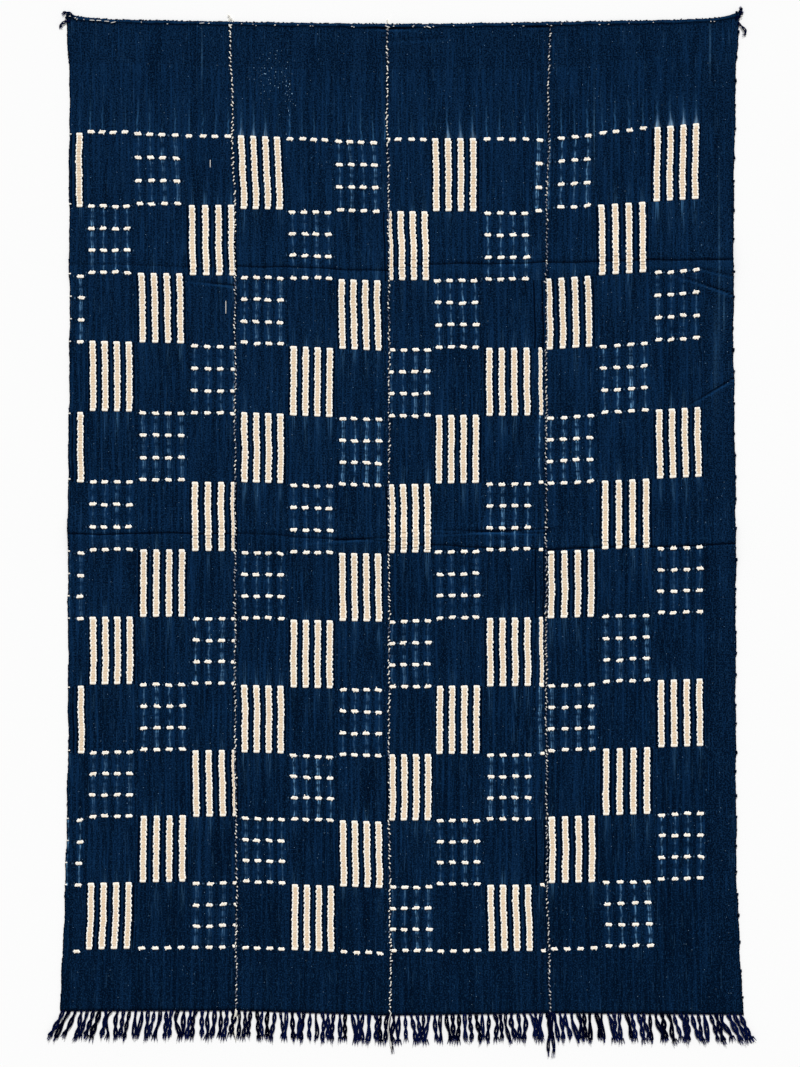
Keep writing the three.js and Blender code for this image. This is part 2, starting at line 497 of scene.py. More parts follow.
def new_finish(name):
    """An empty material and a Tone to start its nodes from."""
    material = bpy.data.materials.new(name)
    material.use_nodes = True
    material.node_tree.nodes.clear()
    return material, Tone(material.node_tree)


def close_finish(start, colour, roughness, bump_height, bump_depth):
    """Ends a finish: a matt shader with no gloss, as dry cotton has."""
    bump_sockets = {"Strength": 1.0, "Distance": bump_depth, "Height": bump_height}
    shader_sockets = {
        "Base Color": colour,
        "Roughness": roughness,
        "Specular IOR Level": 0.0,
        "Normal": start.node("ShaderNodeBump", (), bump_sockets),
    }
    shader = start.node("ShaderNodeBsdfPrincipled", (), shader_sockets)
    start.node("ShaderNodeOutputMaterial", (), {"Surface": shader})


floor_finish, start = new_finish("pale_floor")
floor_grain = start.node("ShaderNodeTexNoise", (), {"Scale": 3.0, "Detail": 2.0})
close_finish(start, floor_grain.between(*FLOOR_GREYS), COTTON_ROUGH, floor_grain, 0.0)
floor_mesh.materials.append(floor_finish)
print("finish made:", floor_finish.name)

# %% [markdown]
# ## The pattern's own grid
# The weaver counted the pattern: blocks of four columns, rows of one block's height, and in each row
# the blocks go bars, plain, dots, plain. Each row down starts one block further on in that order, so
# the bars step across the cloth. Only the places of the columns and of a few row lines are measured.
# The rest is that rule, which is far shorter than tracing every float, if a little less exact.

# %% Chart the columns and the row lines
ROWS = 12
BLOCK_COLUMNS = 4
BARS, BELOW_BARS, DOTS, ABOVE_BARS = range(4)
FOUR = tuple(range(BLOCK_COLUMNS))
BLOCKS = table(
    "panel block start pitch lower aside columns",
    (0, 0, 15.5, 20.0, 1.9, 3.6, (3,)),
    (0, 1, 35.8, 20.1, -1.0, 1.6, FOUR),
    (0, 2, 119.2, 21.1, -1.3, -2.6, FOUR),
    (0, 3, 205.0, 21.6, 0.7, 2.0, FOUR),
    (1, 4, 14.8, 19.8, -0.4, 3.2, FOUR),
    (1, 5, 95.9, 19.8, 0.9, 1.4, FOUR),
    (1, 6, 176.7, 19.7, 0.3, -1.4, FOUR),
    (2, 7, 4.2, 19.6, 0.3, 0.0, FOUR),
    (2, 8, 82.6, 20.2, -0.8, -0.4, FOUR),
    (2, 9, 166.0, 20.6, 0.3, -0.2, FOUR),
    (3, 10, 8.6, 21.9, 0.0, -1.2, FOUR),
    (3, 11, 98.4, 22.5, -0.7, -0.4, FOUR),
    (3, 12, 189.8, 21.2, -0.7, 1.8, FOUR),
)
LINE_NUMBERS = np.array((-2, 0, 1, 3, 6, 9, 12, 14))
LINES = table(
    "left right",
    ((883, 652.5, 530, 307, -39, -371, -698, -912), (875, 645, 532, 300, -38, -367, -692, -906)),
    ((877, 646, 525, 304, -40, -371, -692, -906), (865, 636, 521, 291, -44, -378, -703, -917)),
    ((869, 640, 521, 295, -42, -375, -699, -913), (870, 641, 520, 296, -36, -373, -698, -912)),
    ((871, 642, 525, 293, -40, -370, -695, -909), (905, 671, 545, 315, -29, -359, -688, -902)),
)
DRIFT_LINES = (0, 3, 6, 9, 12)
DRIFT = (
    (3.7, -2.0, -4.3, -5.0, -5.0),
    (3.0, -0.7, -1.0, -1.2, -1.0),
    (5.5, 0.6, -0.5, -1.2, 0.0),
    (8.0, 2.6, 0.3, -0.2, 0.0),
)


def kind_of(block, row):
    """Whether a block holds bars or dots in a row, or is plain, below or above bars."""
    return (block + row) % 4


bar_blocks = sum(kind_of(b["block"], row) == BARS for b in BLOCKS for row in range(ROWS))
print("blocks of bars:", bar_blocks)

# %% Find places on the chart
ASIDE_LINES = 3.0
BLOCK_MARGIN = 0.4


def line_y(panel, across, line):
    """The y on the layout of a row line, which may lie between two whole lines."""
    left, right = (np.interp(line, LINE_NUMBERS, LINES[panel][side]) for side in ("left", "right"))
    return left * (1 - across) + right * across


def line_at(panel, across, y):
    """The row line that passes a y of the layout."""
    sides = (-np.array(LINES[panel][side]) for side in ("left", "right"))
    left, right = (np.interp(-y, side, LINE_NUMBERS) for side in sides)
    return left * (1 - across) + right * across


def column_place(block, column):
    """How far across its panel a column of a block lies, in millimetres."""
    return block["start"] + block["pitch"] * (column - block["columns"][0])


def drift(panel, where, line):
    """How far left of their place the columns lie at a row line, in millimetres."""
    blocks = on_panel(BLOCKS, panel)
    middles = [b["start"] + b["pitch"] * (len(b["columns"]) - 1) / 2 for b in blocks]
    aside = np.interp(where, middles, [b["aside"] for b in blocks])
    return np.interp(line, DRIFT_LINES, DRIFT[panel]) - aside * np.clip(1 - line / ASIDE_LINES, 0, 1)


def lower_at(panel, where):
    """How far below the row lines the blocks lie, level inside each block."""
    places, lowered = [], []
    for block in on_panel(BLOCKS, panel):
        for end in (-BLOCK_MARGIN, len(block["columns"]) - 1 + BLOCK_MARGIN):
            places.append(block["start"] + block["pitch"] * end)
            lowered.append(block["lower"])
    return np.interp(where, places, lowered)


print("row lines of panel 1 in mm:", [round(float(line_y(0, 0.5, row))) for row in range(ROWS + 1)])

# %% [markdown]
# ## Indigo cotton
# Each warp thread took the dye differently, so the ground is made of fine lengthwise streaks. Where the
# cream weft pulls the cloth, undyed thread shows as pale lines through the dots and just past the ends
# of the bars, and painted shade darkens the ground right round the floats. A painted picture would do
# it too, but layers of noise stay sharp at any size. The finish reads two UV maps, one in metres for the
# yarn and one that counts columns and rows, and the painted light and shade, with some wear, kept on
# the panels' points.

# %% Dye the ground
WARP_PITCH = 0.0014
MARGIN_COLUMN = 51.6
FOOT_FADE = (1.4, 1.46)
# Sizes of the noise across and along, in metres. Across, the fine and stray ones are in threads, and the
# sway and patch ones in columns.
GRAINS = {
    "fine": (0.137, 0.03),
    "medium": (0.006, 0.12),
    "broad": (0.03, 0.4),
    "speck": (0.0025, 0.0023),
    "streak": (0.0034, 0.08),
    "dash": (0.0018, 0.008),
    "thread": (0.0018, 0.04),
    "break": (0.002, 0.009),
    "sway": (0.37, 0.014),
    "patch": (0.31, 0.009),
    "stray": (0.291, 0.05),
    "fluff": (0.0019, 0.0032),
}


def dyed_ground(start, x, y, column):
    """The colour of the ground, and the tones that later layers use again."""
    yarn = start.math("FLOOR", x / WARP_PITCH)
    fine = start.noise(yarn, y, *GRAINS["fine"])
    medium = start.noise(x, y, *GRAINS["medium"])
    broad = start.noise(x, y, *GRAINS["broad"], 1.0)
    grain = start.noise(x, y, *GRAINS["speck"], 1.0)
    foot = y.rise(*FOOT_FADE)
    faded = column.rise(MARGIN_COLUMN, 53) * 0.04 - y * 0.062 - column * 0.0003 - 0.056
    depth = grain * 0.95 - 0.165 + fine * 0.12 + medium * 0.2 + broad * 0.18 + faded
    streak = start.noise(x, y, *GRAINS["streak"]).rise(0.58, 0.8)
    dashes = start.noise(x, y, *GRAINS["dash"], 1.0).rise(0.62, 0.84)
    colour = painted(depth.rise(0.36, 0.62).between(dye(2, 14, 31), dye(12, 37, 66)), [
        (streak * (0.5 - foot * 0.3), (16, 50, 88)),
        (dashes * 0.4, (34, 74, 112)),
    ])
    tones = {"yarn": yarn, "fine": fine, "medium": medium, "grain": grain, "foot": foot, "depth": depth}
    return colour, tones


print("warp threads to the metre:", round(1 / WARP_PITCH))

# %% Pull the ground where the cream weft floats
DRAWN_IN = {"top": 0.018, "foot": 0.014}
CORNER_COLUMNS = (46, 48)
CORNER_ROWS = (1.6, 2.2)


def pulled_layers(start, x, y, column, row, ground, patches):
    """Layers of dye round the bars and dots, and painted shade right round the floats. Widths are shares of
    a column or of a row.
    """
    whole_column = start.math("ROUND", column)
    whole_row = start.math("FLOOR", row)
    part_row = row - whole_row
    apart = column - whole_column
    near = abs(apart)
    band = near.bell(0, 0.24)
    block = start.math("FLOOR", (column + 0.5) / BLOCK_COLUMNS)
    kind = start.math("FLOORED_MODULO", block + whole_row, 4.0)
    luck = start.chance(whole_column, whole_row)
    block_luck = start.chance(block, whole_row)
    lucky = luck.rise(0.2, 1.0)
    corner = column.rise(*CORNER_COLUMNS)

    woven = (1 - column.over(MARGIN_COLUMN)) * row.over(-1) * (1 - row.over(ROWS + 1))
    in_rows = row.over(0) * (1 - row.over(ROWS)) * woven
    over_rows = woven * (1 - row.over(0))
    in_bars = kind.bell(BARS, 0.1) * in_rows
    in_dots = kind.bell(DOTS, 0.1) * in_rows
    third = (part_row - DRAWN_IN["top"]) * (3 / (1 - DRAWN_IN["top"] - DRAWN_IN["foot"]))
    from_dots = abs(third - start.math("ROUND", third))
    threads = start.noise(x, y, *GRAINS["thread"], 1.0).rise(0.42, 0.68)
    broken = start.noise(x, y, *GRAINS["break"], 1.0).rise(0.26, 0.54)

    fade = ground["medium"].rise(0.35, 0.65) * (1 - ground["foot"] * 0.4)
    twin = (near.bell(0.28, 0.08) + band * 0.5) * woven * fade
    seen = (from_dots.bell(0, 0.24) * 0.7 + patches * (luck * 0.6 + 0.2)) * (block_luck * 0.9 + 0.35)
    sway = (start.noise(whole_column, y, *GRAINS["sway"]) - 0.5) * 0.2
    aside = apart + sway + (luck - 0.5) * 0.1
    lines = aside.bell(0, 0.05) + aside.bell(0.15, 0.035) * luck.rise(0.5, 0.7) * 0.6
    below = kind.bell(BELOW_BARS, 0.1) * part_row.bell(0, 0.32) * row.over(1) * (1 - row.over(ROWS))
    above = kind.bell(ABOVE_BARS, 0.1) * part_row.bell(1, 0.18) * (1 - row.over(ROWS - 1))
    streaked = lucky + corner * (1 - row.rise(*CORNER_ROWS)) * 0.8
    flare = (below * 0.6 + above * 0.65) * streaked * near.bell(0.06, 0.1) * threads * woven
    rising = part_row.rise(0.4, 1.0) * over_rows * aside.bell(0, 0.06) * broken
    flame = (near / (part_row.rise(0.86, 1.0) * 0.12 + 0.04)).bell(0, 1) * part_row.rise(0.74, 1.0)
    crown = kind.bell(ABOVE_BARS, 0.1) * flame * over_rows * (threads * 0.6 + 0.4)
    crossing = near.bell(0.5, 0.09) * from_dots.bell(0, 0.03) * in_dots
    # Painted shade: a dark ring round each dot and a dark line beside each bar, where the raised floats
    # shade the ground
    ring = near.bell(0.34, 0.06) * from_dots.bell(0, 0.08)
    ring = ring + near.bell(0, 0.27) * from_dots.bell(0.11, 0.03) * 0.6
    float_shade = near.bell(0.335, 0.08) * in_bars + ring * in_dots
    return [
        (twin * 0.4, (15, 48, 86)),
        (band * in_dots * (patches * 0.35 + 0.1), (18, 56, 98)),
        (lines * in_dots * seen * broken, (104, 154, 194)),
        (flare * 0.7, (66, 114, 158)),
        (rising * (luck * 0.5 + 0.1), (56, 108, 156)),
        (crown * (lucky * 0.4 + corner * 0.5), (150, 186, 214)),
        (crossing * threads * 0.7, (96, 132, 166)),
        (near.bell(0.5, 0.08) * in_bars * 0.5, (14, 44, 80)),
        (float_shade * 0.95, (0, 3, 10)),
    ]


print("dots drawn in by shares of a row:", DRAWN_IN)

# %% Wear the ground and close the finish
WEFT_PITCH = 0.0016
PANEL_OFFSET = 3.0
BUMP_DEPTH = 0.0003
WORN_PATCHES = table(
    "panel x drop wide long share",
    (1, -0.220, 0.085, 0.032, 0.045, 0.15),
    (1, -0.186, 0.125, 0.008, 0.050, 0.17),
)
PALE_WARPS = table(
    "panel x drop wide long share",
    (3, 0.508, 0.050, 0.0012, 0.040, 0.45),
    (3, 0.523, 0.400, 0.0014, 0.130, 0.32),
    (3, 0.517, 0.550, 0.0030, 0.070, 0.16),
    (3, 0.531, 0.480, 0.0012, 0.030, 0.5),
    (3, 0.317, 0.175, 0.0010, 0.055, 0.5),
    (0, -0.330, 0.060, 0.0010, 0.045, 0.4),
)


def marked(x, y, marks):
    """Soft spots on the ground, each at its own place and of its own strength."""
    middles = [m["x"] + PANEL_OFFSET * m["panel"] for m in marks]
    bells = [x.bell(at, m["wide"]) * y.bell(m["drop"], m["long"]) for at, m in zip(middles, marks)]
    return sum(bell * m["share"] for bell, m in zip(bells, marks))


def indigo_cotton():
    material, start = new_finish("indigo_cotton")
    x, y = start.uv("cloth")
    column, row = start.uv("pattern")
    colour, ground = dyed_ground(start, x, y, column)
    patches = start.noise(start.math("ROUND", column), y, *GRAINS["patch"]).rise(0.35, 0.7)
    stray = start.noise(ground["yarn"], y, *GRAINS["stray"], 1.0).rise(0.66, 0.86)
    lint = start.noise(x, y, *GRAINS["fluff"], 0.0)
    fluff = (lint + marked(x, y, WORN_PATCHES)).rise(0.92, 1.0)
    # The points' value gives painted highlight, partly rubbed dye, above 0 and painted shade below 0
    tone = start.attribute("soil")
    colour = painted(colour, [
        *pulled_layers(start, x, y, column, row, ground, patches),
        (stray * 0.2, (50, 88, 126)),
        (marked(x, y, PALE_WARPS) * (patches * 0.6 + 0.4), (70, 116, 156)),
        (fluff * 0.8, (146, 184, 212)),
        (tone.rise(0, 1) * 0.6, (20, 60, 102)),
        ((tone * -1).rise(0, 1), (1, 5, 15)),
    ])
    warp = start.math("SINE", x * (2 * math.pi / WARP_PITCH))
    weft = start.math("SINE", y * (2 * math.pi / WEFT_PITCH))
    height = warp * weft * 0.5 + ground["grain"] * 1.2 + ground["fine"] * 0.4
    close_finish(start, colour, ground["depth"].rise(0.2, 0.8) * 0.1 + 0.85, height, BUMP_DEPTH)
    return material


indigo = indigo_cotton()
print("finish made:", indigo.name, len(indigo.node_tree.nodes), "nodes")

# %% [markdown]
# ## Cream cotton and thread
# The pattern weft is a thick soft yarn, warm cream and paler where it bends down into the cloth at its
# ends. Its twist shows as fine slanting lines. Sewing thread and fringe are the same cotton, taken up
# with more or less dye. Each float, stitch or strand has a tint of its own. A material for every shade
# would do, but a value kept on the mesh as an attribute lets one material serve thousands of floats.

# %% Finish: cream weft, sewing thread and twisted warp ends
TWIST_PITCH = 0.0052
TWIST_DEPTH = 0.0002
FRAYED_FROM = (3.5, 3.8)
# The fuzz is sized in metres, and the hairs on the yarn's UV map
FUZZ_GRAIN = (0.0021, 0.0021)
HAIR_GRAIN = (0.05, 0.12)


def cream_cotton():
    material, start = new_finish("cream_cotton")
    along, _ = start.uv("yarn")
    tint = start.attribute("tint")
    where = start.node("ShaderNodeTexCoord", (), (), 3)
    x, y, _ = where.parts()
    ends = abs(along - 0.5).rise(0.27, 0.35)
    fuzz = start.noise(x, y, *FUZZ_GRAIN)
    twist = start.math("SINE", ((x - y) / TWIST_PITCH + fuzz * 1.6) * (2 * math.pi))
    specks = start.node("ShaderNodeTexNoise", (), {"Vector": where, "Scale": 330.0, "Detail": 0.0})
    colour = painted(tint.between(dye(223, 200, 171), dye(254, 246, 232)), [
        (ends, (255, 255, 250)),
        (twist.rise(0.3, 1.0) * (1 - ends) * (1 - tint) * 0.45, (186, 158, 126)),
        (specks.rise(0.8, 0.86) * 0.6, (120, 98, 76)),
    ])
    close_finish(start, colour, COTTON_ROUGH, twist * 0.5 + 0.5, TWIST_DEPTH)
    return material


def thread_cotton(name, dark, light, frayed):
    material, start = new_finish(name)
    along, aside = start.uv("yarn")
    tint = start.attribute("tint")
    hairs = start.noise(along + tint * 9, aside, *HAIR_GRAIN)
    colour = (tint * 0.9 + hairs.rise(0.35, 0.75) * 0.1).between(dye(*dark), dye(*light))
    colour = painted(colour, [(along.rise(*FRAYED_FROM), frayed)])
    close_finish(start, colour, COTTON_ROUGH, hairs, BUMP_DEPTH)
    return material


cream = cream_cotton()
twisted = thread_cotton("twisted_cotton", (0, 1, 9), (8, 18, 58), (20, 30, 98))
sewing = thread_cotton("sewing_cotton", (30, 62, 100), (255, 251, 240), (255, 251, 240))
edge_cotton = thread_cotton("edge_cotton", (1, 6, 18), (8, 26, 52), (8, 26, 52))
print("finishes made:", cream.name, twisted.name, sewing.name, edge_cotton.name)

# %% [markdown]
# ## The woven panels
# A panel is a thin sheet: a grid whose points are moved to their places on the folds, then thickened. A
# cloth simulation could lay it out too, but its folds would fall where they liked. The rows of the grid
# bend to follow the two fold lines and are closest there, so the troughs stay crisp without a fine grid
# everywhere.

# %% Space the rows of a panel's grid
ROW_STEP = 7.5
FOLD_STEPS = (-12, -9, -6.5, -4.5, -3, -2, -1.2, -0.6, 0, 0.6, 1.2, 2, 3, 4.5, 6.5, 9, 12, 15, 18)
FOLD_PULL = 130
WRINKLE_STEP = 1.6
WRINKLE_MARGIN = 14
HEM_ROWS = (3, 5, 6.5, 8, 9.5, 11, 13)
MIDDLE_SECTION = 5


def row_drops(panel):
    """The drops of a panel's rows of points at its middle, closer together at the folds."""
    lines = [float(fold_line(fold, 0.5)) for fold in on_panel(FOLDS, panel)]
    bands = [(line + FOLD_STEPS[0], line + FOLD_STEPS[-1]) for line in lines] + [(0, HEM_ROWS[-1])]
    rows = [*HEM_ROWS, *(line + step for line in lines for step in FOLD_STEPS)]
    low, high = (SECTIONS[EDGES[panel + side]][MIDDLE_SECTION] for side in (0, 1))
    for wrinkle in WRINKLES:
        (x1, y1), (x2, y2) = wrinkle["start"], wrinkle["end"]
        drops = sorted(drop_at(panel, 0.5, y) for y in (y1, y2))
        if low < (x1 + x2) / 2 < high:
            band = (drops[0] - WRINKLE_MARGIN, drops[1] + WRINKLE_MARGIN)
            steps = np.arange(*band, WRINKLE_STEP)
            rows += [d for d in steps if d > 0 and not any(a <= d <= b for a, b in bands)]
            bands.append(band)
    half = ROW_STEP / 2
    plain = np.linspace(0, LENGTH, int(LENGTH / ROW_STEP))
    rows += [d for d in plain if not any(a - half < d < b + half for a, b in bands)]
    return np.array(sorted({0.0, LENGTH, *rows}))


def bent_drops(panel, across, drop):
    """The drops with rows near a fold bent to run along it."""
    bent = drop.copy()
    for fold in on_panel(FOLDS, panel):
        middle = fold_line(fold, 0.5)
        pull = np.clip(1 - np.abs(drop - middle) / FOLD_PULL, 0, 1)
        bent += (fold_line(fold, across) - middle) * pull
    return bent


print("rows of points:", [len(row_drops(panel)) for panel in PANELS])

# %% Make grids and keep values on their points


def grid_of(columns, rows):
    """A flat grid of cells, with the column and the row of each of its points, from the top left."""
    bm = bmesh.new()
    bmesh.ops.create_grid(bm, x_segments=columns, y_segments=rows, size=0.5)
    flat = np.array([v.co for v in bm.verts])
    column = np.rint((flat[:, 0] + 0.5) * columns).astype(int)
    return bm, column, np.rint((0.5 - flat[:, 1]) * rows).astype(int)


def moved_mesh(bm, name, points):
    """A mesh with the points of a bmesh moved to new places."""
    for vert, point in zip(bm.verts, points):
        vert.co = point
    return mesh_of(bm, name)


def paint_uv(mesh, name, values):
    """Gives a mesh a UV map from one pair of values for each vertex."""
    corners = np.zeros(len(mesh.loops), int)
    mesh.loops.foreach_get("vertex_index", corners)
    mesh.uv_layers.new(name=name).data.foreach_set("uv", values[corners].astype(np.float32).ravel())


def paint_value(mesh, name, values):
    """Gives a mesh an attribute from one value for each vertex."""
    mesh.attributes.new(name, "FLOAT", "POINT").data.foreach_set("value", values.astype(np.float32))


def shown(mesh, finish):
    """Puts a mesh in the scene as a smooth piece with a finish."""
    mesh.materials.append(finish)
    mesh.shade_smooth()
    return linked(bpy.data.objects.new(mesh.name, mesh))


print("helpers ready:", [f.__name__ for f in (grid_of, moved_mesh, paint_uv, paint_value, shown)])

# %% Weave the panels
COLUMNS = 60
EDGE_CELL = 2.0
# Past a panel's first and last columns the count goes on at this rate
PAST_COLUMNS = {"run": 100, "count": 5}


def column_at(panel, across, line):
    """The pattern's column count at places of a panel."""
    columns = [(b, c) for b in on_panel(BLOCKS, panel) for c in b["columns"]]
    starts = [column_place(b, c) for b, c in columns]
    counts = [BLOCK_COLUMNS * b["block"] + c for b, c in columns]
    run, count = PAST_COLUMNS["run"], PAST_COLUMNS["count"]
    starts = [starts[0] - run, *starts, starts[-1] + run]
    counts = [counts[0] - count, *counts, counts[-1] + count]
    where = across * PANEL_WIDTH[panel]
    return np.interp(where + drift(panel, where, line), starts, counts)


def woven_panel(panel):
    drops = row_drops(panel)
    edge = EDGE_CELL / PANEL_WIDTH[panel]
    shares = np.linspace(0, 1, COLUMNS + 1)
    shares[[1, -2]] = edge, 1 - edge
    bm, column, row = grid_of(COLUMNS, len(drops) - 1)
    across = shares[column]
    drop = bent_drops(panel, across, drops[row])
    mesh = moved_mesh(bm, f"woven_panel_{panel + 1}", spot(panel, across, drop, SHEET_THICK))
    x, y = place(panel, across, drop)
    line = line_at(panel, across, y + lower_at(panel, across * PANEL_WIDTH[panel]))
    paint_uv(mesh, "cloth", np.stack([x * MM + PANEL_OFFSET * panel, drop * MM], axis=-1))
    paint_uv(mesh, "pattern", np.stack([column_at(panel, across, line), line], axis=-1))
    paint_value(mesh, "soil", soil(panel, across, drop))
    sheet = shown(mesh, indigo)
    thick = sheet.modifiers.new("thickness", "SOLIDIFY")
    thick.thickness = SHEET_THICK * MM
    thick.offset = -1
    return sheet


sheets = [woven_panel(panel) for panel in PANELS]
print("panels woven:", [(s.name, len(s.data.polygons)) for s in sheets])

# %% [markdown]
# ## The pattern weft
# A bar is a stack of floats: each pick of cream yarn passes over a few warp threads and dives back. A
# dot is two such floats side by side, with a thinner one between them and a nub at each end. One blunt,
# rounded float is shaped from a ball, and arrays of places, turns and sizes copy it thousands of times
# into one joined mesh for each panel, which is far quicker than thousands of objects.

# %% Shape one float
FLOAT_SIDES = 6
FLOAT_RINGS = 5
BLUNT = 0.45
POLE_REACH = 0.01


def template_of(bm):
    """The points and triangles of a small shape, ready for copying and in the same order at each run."""
    bmesh.ops.triangulate(bm, faces=bm.faces)
    bm.verts.index_update()
    points = np.array([v.co for v in bm.verts])
    corners = [[v.index for v in f.verts] for f in bm.faces]
    bm.free()
    firsts = [face.index(min(face)) for face in corners]
    return points, np.array(sorted(face[i:] + face[:i] for face, i in zip(corners, firsts)))


def blunt_float():
    """A ball drawn out along X, with blunt ends, one unit from its middle to each side."""
    bm = bmesh.new()
    bmesh.ops.create_uvsphere(bm, u_segments=FLOAT_SIDES, v_segments=FLOAT_RINGS, radius=1)
    bmesh.ops.rotate(bm, verts=bm.verts, matrix=Matrix.Rotation(math.pi / 2, 3, "Y"))
    for vert in bm.verts:
        reach = math.hypot(vert.co.y, vert.co.z)
        vert.co.x = math.copysign(abs(vert.co.x) ** BLUNT, vert.co.x)
        if reach > POLE_REACH:
            vert.co.yz = vert.co.yz * reach ** (BLUNT - 1)
    return template_of(bm)


float_shape = blunt_float()
print("one float:", len(float_shape[1]), "triangles")

# %% Copy a shape to many places


def joined(name, template, moved, uv, tints, finish):
    """One piece from many moved copies of a template, with a yarn UV map and a tint for each copy."""
    points, faces = template
    all_faces = faces[None] + len(points) * np.arange(len(moved))[:, None, None]
    mesh = bpy.data.meshes.new(name)
    mesh.from_pydata(np.reshape(moved, (-1, 3)).tolist(), [], all_faces.reshape(-1, 3).tolist())
    paint_uv(mesh, "yarn", np.tile(uv, (len(moved), 1)))
    paint_value(mesh, "tint", np.repeat(tints, len(points)))
    return shown(mesh, finish)


def copy_at(where, turn, size, tint, tilt=0.0):
    """One copy of the float: a place in metres, a turn, a size, a tint and a tilt up the cloth."""
    return {"place": where, "turn": turn, "size": size, "tint": tint, "tilt": tilt}


def copied(name, template, spots, finish):
    """Copies a template to every spot."""
    points = template[0]
    where = np.array([s["place"] for s in spots])
    turn = np.array([s["turn"] for s in spots])[:, None]
    tilt = np.array([s["tilt"] for s in spots])[:, None]
    sized = np.array([s["size"] for s in spots])[:, None, :] * points[None] * MM
    x = sized[..., 0] * np.cos(turn) - sized[..., 1] * np.sin(turn)
    y = sized[..., 0] * np.sin(turn) + sized[..., 1] * np.cos(turn)
    moved = np.stack([x, y, sized[..., 2] + tilt * y], axis=-1) + where[:, None, :]
    return joined(name, template, moved, points[:, :2] * 0.5 + 0.5, [s["tint"] for s in spots], finish)


print("helpers ready:", [f.__name__ for f in (joined, copy_at, copied)])

# %% Lay one pick
FLOAT_SEAT = 0.7
FLOAT_BRIDGE = 4.0
FLOAT_MARGIN = 0.8
LEAST_SHOWN = 0.4


def pick(block, where, line, shape, tint, turn=0.0, half_share=1.0):
    """One float centred on a column and kept inside its panel, or None where too little would show."""
    panel, width = block["panel"], PANEL_WIDTH[block["panel"]]
    half = shape["half"] * half_share
    middle = where - drift(panel, where, line)
    low = max(middle - half, FLOAT_MARGIN)
    high = min(middle + half, width - FLOAT_MARGIN)
    if high - low < half * LEAST_SHOWN:
        return None
    across = (low + high) / 2 / width
    drop = drop_at(panel, across, line_y(panel, across, line) - block["lower"])
    slope = (line_y(panel, 1, line) - line_y(panel, 0, line)) / width
    above, below = lift(panel, across, drop + FLOAT_BRIDGE * np.array((-1, 1)))
    seat = max(above, below) + SHEET_THICK + FLOAT_SEAT * shape["high"]
    seated = in_frame(*place(panel, across, drop), seat)
    size = ((high - low) / 2, shape["wide"], shape["high"])
    return copy_at(seated, math.atan(slope) + turn, size, tint, (above - below) / (2 * FLOAT_BRIDGE))


print("floats stay off a panel's edges by mm:", FLOAT_MARGIN)

# %% Lay one bar and one dot
PICKS = 27
PAST_LINE = {"top": 0.003, "foot": -0.004}
BAR_FLOAT = {"half": 5.15, "wide": 2.9, "high": 0.26}
BAR_TOOTH = 0.4
BAR_UNEVEN = {"half": 0.06, "aside": 0.12, "turn": 0.03}
BAR_TINT = {"end": 0.7, "inner": 0.22}
DOT_FLOAT = {"half": 5.3, "wide": 1.55, "high": 0.7}
DOT_TAIL = {"half": 5.9, "wide": 0.9, "high": 0.6}
DOT_NUB = {"half": 3.1, "wide": 0.9, "high": 0.7}
DOT_SPREAD = 1.1
DOT_UNEVEN = {"place": 0.5, "turn": 0.06, "half": 0.07, "aside": 0.6}
DOT_TINT = {"low": 0.6, "spread": 0.4, "tail": 0.9, "nub": 1.0}
NUB_ASIDE = (2.0, 3.2)
NUB_UNEVEN = {"place": 0.7, "turn": 0.15}
MIDDLE_ROW = 5


def bar(block, where, row, half_share=1.0):
    """A stack of picks that step left and right by turns."""
    for i in range(PICKS):
        share = half_share * rng.normal(1, BAR_UNEVEN["half"])
        line = row - PAST_LINE["top"] + (1 + sum(PAST_LINE.values())) * (i + 0.5) / PICKS
        tint = BAR_TINT["end"] if i in (0, PICKS - 1) else BAR_TINT["inner"] * rng.random()
        middle = where + (BAR_TOOTH if i % 2 else -BAR_TOOTH) + rng.normal(0, BAR_UNEVEN["aside"])
        yield pick(block, middle, line, BAR_FLOAT, tint, rng.normal(0, BAR_UNEVEN["turn"]), share)


def dot(block, where, line, half_share=1.0):
    """Two floats side by side, a nub at each end and a thin tail."""
    top, foot = (line_y(block["panel"], 0.5, row) for row in (MIDDLE_ROW, MIDDLE_ROW + 1))
    row_height = top - foot
    where = where + rng.normal(0, DOT_UNEVEN["place"])
    line = line + rng.normal(0, DOT_UNEVEN["place"]) / row_height
    tilt = rng.normal(0, DOT_UNEVEN["turn"])
    for side in (-1, 1):
        offset = side * DOT_SPREAD / row_height
        share = half_share * rng.normal(1, DOT_UNEVEN["half"])
        tint = DOT_TINT["low"] + DOT_TINT["spread"] * rng.random()
        middle = where + rng.normal(0, DOT_UNEVEN["aside"])
        yield pick(block, middle, line + offset, DOT_FLOAT, tint, tilt, share)
        nub_line = line + rng.normal(0, NUB_UNEVEN["place"]) / row_height
        turn = math.pi / 2 + rng.normal(0, NUB_UNEVEN["turn"])
        end = where + side * rng.uniform(*NUB_ASIDE)
        yield pick(block, end, nub_line, DOT_NUB, DOT_TINT["nub"], turn, half_share)
    yield pick(block, where, line, DOT_TAIL, DOT_TINT["tail"], tilt, half_share)


print("picks in a bar:", PICKS)

# %% Weave the bars and dots
LAST_FOOT_BLOCK = 11
# The one column of dots that is hidden in the third seam
SEWN_IN = {"block": 10, "row": 0, "column": 0}
SEAM_COLUMN = {"panel": 2, "start": 250.5, "lower": 0.0}
SEAM_BARS = (3, 7)
SEAM_DOTS = 0
SEAM_LINES = (5, 6, 8, 9, 11, 12)
CAUGHT_SHARE = 0.6


def dot_lines(row):
    """The four lines of dots in a row, which the weft has drawn in a little."""
    return np.linspace(row + DRAWN_IN["top"], row + 1 - DRAWN_IN["foot"], BLOCK_COLUMNS)


